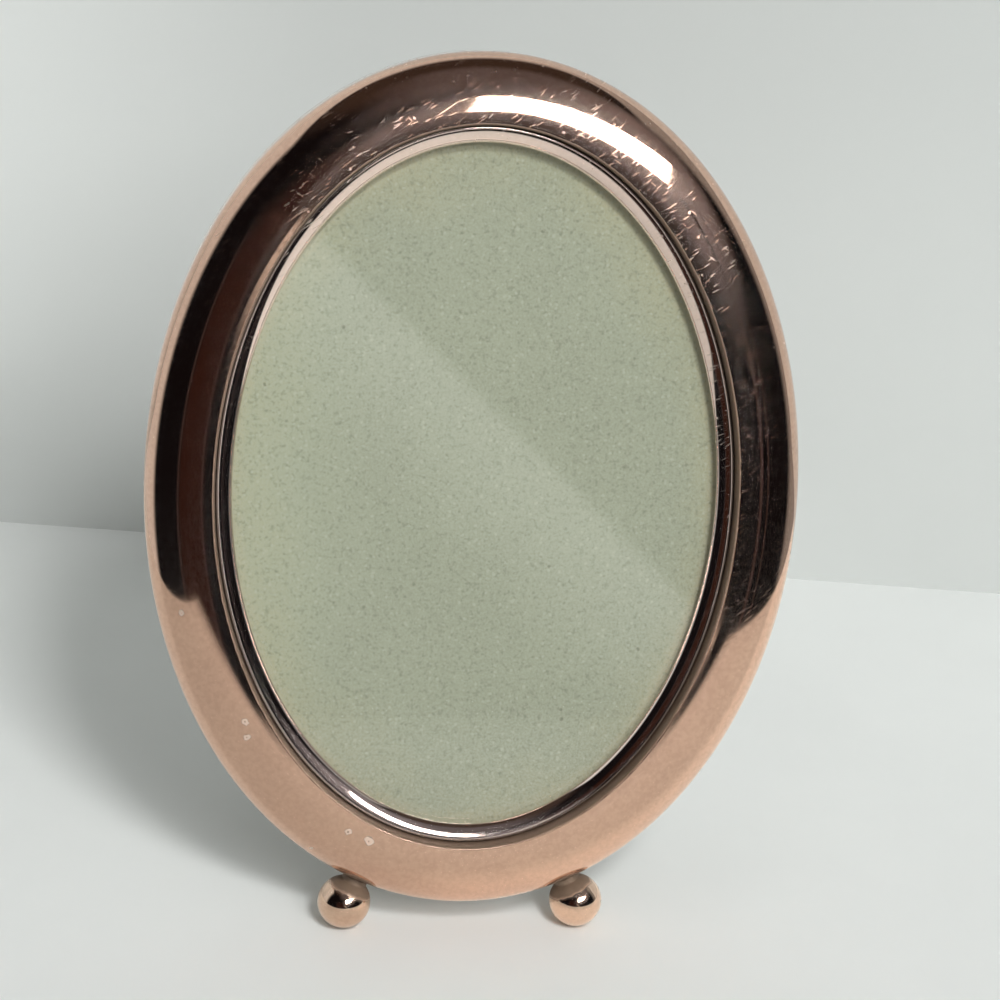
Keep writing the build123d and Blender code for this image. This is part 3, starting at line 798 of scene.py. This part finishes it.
def soft_light(name, line, distance, sides, power):
    """Area light that faces the frame from a direction and that reflected rays don't see."""
    data = bpy.data.lights.new(name, "AREA")
    data.shape = "RECTANGLE"
    data.size, data.size_y = sides
    data.energy = power
    light = bpy.data.objects.new(name, data)
    light.matrix_world = (Matrix.Translation(Vector(centre + distance * line))
                          @ Vector(line).to_track_quat("Z", "Y").to_matrix().to_4x4())
    light.visible_glossy = False
    bpy.context.scene.collection.objects.link(light)
    print(name, "at", np.array(light.matrix_world.translation).round(3))


for name, (bearing, height, distance, sides, power) in LIGHTS.items():
    soft_light(name, direction(bearing, height), distance, sides, power)

# %% [markdown]
# For reflected rays alone, the lights give way to a room. Its bright window comes first, because the ring
# draws the window's very outline as its highlight. Each corner is given by its bearing and height in degrees.

# %% Mirrored window
BLACK = (0.0, 0.0, 0.0)
WINDOW_DISTANCE, WINDOW_GLOW, WINDOW_COLOUR = 2.5, 20.0, (1.0, 0.985, 0.96)
WINDOW_AIMS = ((5.5, 18.0), (29.5, 22.6), (51.0, 33.5), (5.9, 34.0))


def aimed_corners(distance, aims):
    """Corner points at a distance from the frame's centre, each on its own bearing and height."""
    return np.array([centre + distance * direction(*aim) for aim in aims])


def only_mirrored(finish):
    """Leaves a glow to reflected rays: it is clear to every other ray and lights nothing that is matt."""
    finish.through(1.0 - finish.ray("Glossy"), finish.clear())
    finish.owner.cycles.emission_sampling = "NONE"


window = new_finish("window_glow")
window.set(Base_Color=(*BLACK, 1.0), Emission_Color=(*WINDOW_COLOUR, 1.0), Emission_Strength=WINDOW_GLOW)
only_mirrored(window)
stage_sheet("window", aimed_corners(WINDOW_DISTANCE, WINDOW_AIMS).tolist(), window)

# %% [markdown]
# The rest of the room is the world's colour: a dim glow round the window, a brown door and a few posts in the
# dark, and a pale side behind. Places in it are given by a heading of length 1, by the turn from straight in
# front in radians, or by the tangent of that turn, aside.

# %% Mirrored room
DARK_ROOM, DIM_CEILING, CEILING_GLOW = (0.005, 0.004, 0.0045), (0.05, 0.036, 0.028), (0.12, 0.112, 0.115)
WINDOW_HALO, DOOR_BROWN, POST_GREY = (0.26, 0.25, 0.26), (0.028, 0.011, 0.007), (0.055, 0.043, 0.042)
PALE_BEHIND, EVEN_LIGHT, BACKGROUND = (0.70, 0.74, 0.73), (0.14, 0.143, 0.14), (0.70, 0.73, 0.71)
CEILING_Z, GLOW_Z, GLOW_Y, GLOW_X = (0.7, 0.9), (0.45, 0.75), (-0.05, -0.30), (-0.45, 0.0)
BEHIND_Z, BEHIND_Y, BEHIND_X = (0.70, 0.86), (-0.25, -0.02), (0.0, 0.9)
HALO_TURN, HALO_WIDTH, HALO_RISE, HALO_HEIGHT = 0.55, 0.9, 0.48, 0.37
HALO_SLOPE, HALO_SLOPE_TURN = 0.25, 0.5
DOOR_LEFT, DOOR_RIGHT, DOOR_TOP = (-0.66, -0.58), (-0.02, -0.14), (0.5, 0.3)
POSTS = ((-0.67, 0.035), (-0.10, 0.02), (0.62, 0.05), (0.86, 0.03))


def mirrored_room(sky):
    """Colour of the room by heading: dark, with a glow round the window, a door, posts and a pale back."""
    heading_x, heading_y, heading_z = sky.parts(sky.node("ShaderNodeTexCoord", {}, {}, "Generated"))
    forward = 0.0 - heading_y
    turn = heading_x.maths("ARCTAN2", heading_x, forward)
    above = sky.fade(heading_z, *GLOW_Z) * sky.fade(heading_y, *GLOW_Y) * sky.fade(heading_x, *GLOW_X)
    colour = sky.mix(sky.fade(heading_z, *CEILING_Z), DARK_ROOM, DIM_CEILING)
    colour = sky.mix(above, colour, CEILING_GLOW)
    over_halo = heading_z - HALO_RISE - (turn - HALO_SLOPE_TURN) * HALO_SLOPE
    off_window = ((turn - HALO_TURN) / HALO_WIDTH) ** 2.0 + (over_halo / HALO_HEIGHT) ** 2.0
    colour = sky.mix(sky.fade(off_window, 1.0, 0.0), colour, WINDOW_HALO)
    aside = heading_x / forward.larger(0.01)
    low = sky.fade(heading_z, *DOOR_TOP)
    door = sky.fade(aside, *DOOR_LEFT) * sky.fade(aside, *DOOR_RIGHT) * low
    colour = sky.mix(door, colour, DOOR_BROWN)
    for middle, width in POSTS:
        post = sky.fade((aside - middle) ** 2.0, width ** 2, (0.3 * width) ** 2) * low
        colour = sky.mix(post, colour, POST_GREY)
    behind = (sky.fade(heading_y - 0.5 * sky.fade(heading_z, *BEHIND_Z), *BEHIND_Y)
              * (1.0 - 0.6 * sky.fade(heading_x, *BEHIND_X)))
    return sky.mix(behind, colour, PALE_BEHIND)


room = bpy.data.worlds.new("dim_room")
bpy.context.scene.world = room
sky = Finish(room)
even = sky.mix(sky.ray("Camera"), EVEN_LIGHT, BACKGROUND)
sky.set(Color=sky.mix(sky.ray("Glossy"), even, mirrored_room(sky)))
print("room nodes:", len(room.node_tree.nodes))

# %% [markdown]
# Clear glass shows best by what it mirrors. A dim slanted panel far in front, which only reflected rays
# see, gives the glass one faint diagonal sheen that is crisp on its upper side and fades away below.

# %% Panel that the glass mirrors
PANEL_DISTANCE, PANEL_GLOW, PANEL_COLOUR = 1.5, 0.8, (1.0, 1.0, 0.95)
PANEL_AIMS = ((1.0, 9.1), (13.8, -3.2), (10.35, -6.8), (-2.45, 5.5))
CRISP_SHARE, FADING_SHARE = 0.12, 0.1

panel_corners = aimed_corners(PANEL_DISTANCE, PANEL_AIMS)
edge_line = unit(panel_corners[1] - panel_corners[0])
inward = panel_corners[3] - panel_corners[0]
inward -= edge_line * (inward @ edge_line)
panel_width = np.linalg.norm(inward)
inward = unit(inward)
panel = new_finish("panel_glow")
from_edge = panel.along(inward) - float((panel_corners[0] - centre) @ inward)
sheen = (panel.fade(from_edge, 0.0, panel_width * CRISP_SHARE)
         * panel.fade(from_edge, panel_width, panel_width * FADING_SHARE))
panel.set(Base_Color=(*BLACK, 1.0), Specular_IOR_Level=0.0, Emission_Strength=PANEL_GLOW,
          Emission_Color=panel.mix(sheen, BLACK, PANEL_COLOUR))
only_mirrored(panel)
stage_sheet("mirrored_panel", panel_corners.tolist(), panel)
